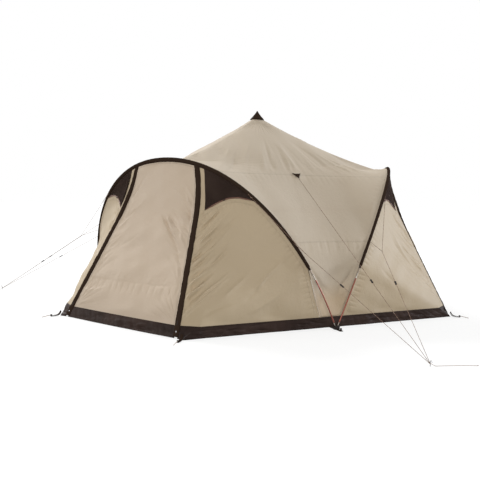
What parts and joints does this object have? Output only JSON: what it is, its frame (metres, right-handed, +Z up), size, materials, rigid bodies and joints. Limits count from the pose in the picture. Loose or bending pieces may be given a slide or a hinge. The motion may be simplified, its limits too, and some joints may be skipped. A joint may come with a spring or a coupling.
{
  "type": "camping tent",
  "caption": "Three-sided pole tent with a pyramid roof, bent arch poles that lean outwards over zipped doors, a dark skirt and guy lines with sliding tensioners.",
  "frame": {"origin": "centre of the centre pole's flat foot, on the ground", "axes": "+Z up; -Y out of side a's door; +X to the right of that door"},
  "size_m": [5.7168, 5.3662, 2.186],
  "materials": {
    "roof_cloth": "matt sand-coloured polycotton",
    "door_cloth": "matt sand-brown polycotton",
    "wall_cloth": "matt olive-sand polycotton",
    "dark_cloth": "matt dark brown coated cloth",
    "mesh": "dark insect mesh",
    "red_tube": "red-brown anodised tube",
    "steel": "plated steel",
    "line": "thin braided cord, reddish brown",
    "black_plastic": "moulded black plastic and webbing"
  },
  "bodies": {
    "tent": {"centre_pole_lower": "steel", "centre_pole_upper": "steel", "apex_cap": "dark_cloth", "arch_pole_a": "red_tube", "arch_sleeve_a": "dark_cloth", "zip_flap_a_right": "dark_cloth", "side_panel_a_right": "wall_cloth", "vent_mesh_a_right": "mesh", "zip_flap_a_left": "dark_cloth", "side_panel_a_left": "wall_cloth", "vent_mesh_a_left": "mesh", "arch_pole_b": "red_tube", "arch_sleeve_b": "dark_cloth", "zip_flap_b_right": "dark_cloth", "side_panel_b_right": "wall_cloth", "vent_mesh_b_right": "mesh", "zip_flap_b_left": "dark_cloth", "side_panel_b_left": "wall_cloth", "vent_mesh_b_left": "mesh", "arch_pole_c": "red_tube", "arch_sleeve_c": "dark_cloth", "zip_flap_c_right": "dark_cloth", "side_panel_c_right": "wall_cloth", "vent_mesh_c_right": "mesh", "zip_flap_c_left": "dark_cloth", "side_panel_c_left": "wall_cloth", "vent_mesh_c_left": "mesh", "roof_panel_ab": "roof_cloth", "skirt_ab": "dark_cloth", "pole_foot_ab": "black_plastic", "line_peg_ab": "steel", "guy_lines_ab": "line", "roof_panel_bc": "roof_cloth", "skirt_bc": "dark_cloth", "pole_foot_bc": "black_plastic", "line_peg_bc": "steel", "guy_lines_bc": "line", "roof_panel_ca": "roof_cloth", "skirt_ca": "dark_cloth", "pole_foot_ca": "black_plastic", "line_peg_ca": "steel", "guy_lines_ca": "line"},
    "door_a": {"door_a": "door_cloth"},
    "zip_slider_a_right": {"zip_slider_a_right": "steel"},
    "zip_slider_a_left": {"zip_slider_a_left": "steel"},
    "door_b": {"door_b": "door_cloth"},
    "zip_slider_b_right": {"zip_slider_b_right": "steel"},
    "zip_slider_b_left": {"zip_slider_b_left": "steel"},
    "door_c": {"door_c": "door_cloth"},
    "zip_slider_c_right": {"zip_slider_c_right": "steel"},
    "zip_slider_c_left": {"zip_slider_c_left": "steel"},
    "tensioner_ab_roof": {"tensioner_ab_roof": "black_plastic"},
    "tensioner_ab_near": {"tensioner_ab_near": "black_plastic"},
    "tensioner_ab_far": {"tensioner_ab_far": "black_plastic"},
    "tensioner_bc_roof": {"tensioner_bc_roof": "black_plastic"},
    "tensioner_bc_near": {"tensioner_bc_near": "black_plastic"},
    "tensioner_bc_far": {"tensioner_bc_far": "black_plastic"},
    "tensioner_ca_roof": {"tensioner_ca_roof": "black_plastic"},
    "tensioner_ca_near": {"tensioner_ca_near": "black_plastic"},
    "tensioner_ca_far": {"tensioner_ca_far": "black_plastic"}
  },
  "joints": [
    {"name": "door_a_swing", "type": "hinge", "parent": "tent", "child": "door_a", "pos_m": [0, -1.50787, 1.52863], "axis": [-1, 0, 0], "range_deg": [0, 60]},
    {"name": "zip_slider_a_right_run", "type": "slide", "parent": "tent", "child": "zip_slider_a_right", "axis": [-0.194, 0.4333, 0.8801], "range_m": [0, 0.9]},
    {"name": "zip_slider_a_left_run", "type": "slide", "parent": "tent", "child": "zip_slider_a_left", "axis": [0.194, 0.4333, 0.8801], "range_m": [0, 0.9]},
    {"name": "door_b_swing", "type": "hinge", "parent": "tent", "child": "door_b", "pos_m": [1.30586, 0.75394, 1.52863], "axis": [0.5, -0.866, 0], "range_deg": [0, 60]},
    {"name": "zip_slider_b_right_run", "type": "slide", "parent": "tent", "child": "zip_slider_b_right", "axis": [-0.2782, -0.3846, 0.8801], "range_m": [0, 0.9]},
    {"name": "zip_slider_b_left_run", "type": "slide", "parent": "tent", "child": "zip_slider_b_left", "axis": [-0.4722, -0.0486, 0.8801], "range_m": [0, 0.9]},
    {"name": "door_c_swing", "type": "hinge", "parent": "tent", "child": "door_c", "pos_m": [-1.30586, 0.75394, 1.52863], "axis": [0.5, 0.866, 0], "range_deg": [0, 60]},
    {"name": "zip_slider_c_right_run", "type": "slide", "parent": "tent", "child": "zip_slider_c_right", "axis": [0.4722, -0.0486, 0.8801], "range_m": [0, 0.9]},
    {"name": "zip_slider_c_left_run", "type": "slide", "parent": "tent", "child": "zip_slider_c_left", "axis": [0.2782, -0.3846, 0.8801], "range_m": [0, 0.9]},
    {"name": "tensioner_ab_roof_run", "type": "slide", "parent": "tent", "child": "tensioner_ab_roof", "axis": [0.7221, -0.4169, -0.5521], "range_m": [-0.3, 0.3]},
    {"name": "tensioner_ab_near_run", "type": "slide", "parent": "tent", "child": "tensioner_ab_near", "axis": [0.854, -0.1688, -0.4921], "range_m": [-0.3, 0.3]},
    {"name": "tensioner_ab_far_run", "type": "slide", "parent": "tent", "child": "tensioner_ab_far", "axis": [0.5732, -0.6552, -0.4921], "range_m": [-0.3, 0.3]},
    {"name": "tensioner_bc_roof_run", "type": "slide", "parent": "tent", "child": "tensioner_bc_roof", "axis": [0, 0.8338, -0.5521], "range_m": [-0.3, 0.3]},
    {"name": "tensioner_bc_near_run", "type": "slide", "parent": "tent", "child": "tensioner_bc_near", "axis": [-0.2808, 0.824, -0.4921], "range_m": [-0.3, 0.3]},
    {"name": "tensioner_bc_far_run", "type": "slide", "parent": "tent", "child": "tensioner_bc_far", "axis": [0.2808, 0.824, -0.4921], "range_m": [-0.3, 0.3]},
    {"name": "tensioner_ca_roof_run", "type": "slide", "parent": "tent", "child": "tensioner_ca_roof", "axis": [-0.7221, -0.4169, -0.5521], "range_m": [-0.3, 0.3]},
    {"name": "tensioner_ca_near_run", "type": "slide", "parent": "tent", "child": "tensioner_ca_near", "axis": [-0.5732, -0.6552, -0.4921], "range_m": [-0.3, 0.3]},
    {"name": "tensioner_ca_far_run", "type": "slide", "parent": "tent", "child": "tensioner_ca_far", "axis": [-0.854, -0.1688, -0.4921], "range_m": [-0.3, 0.3]}
  ]
}
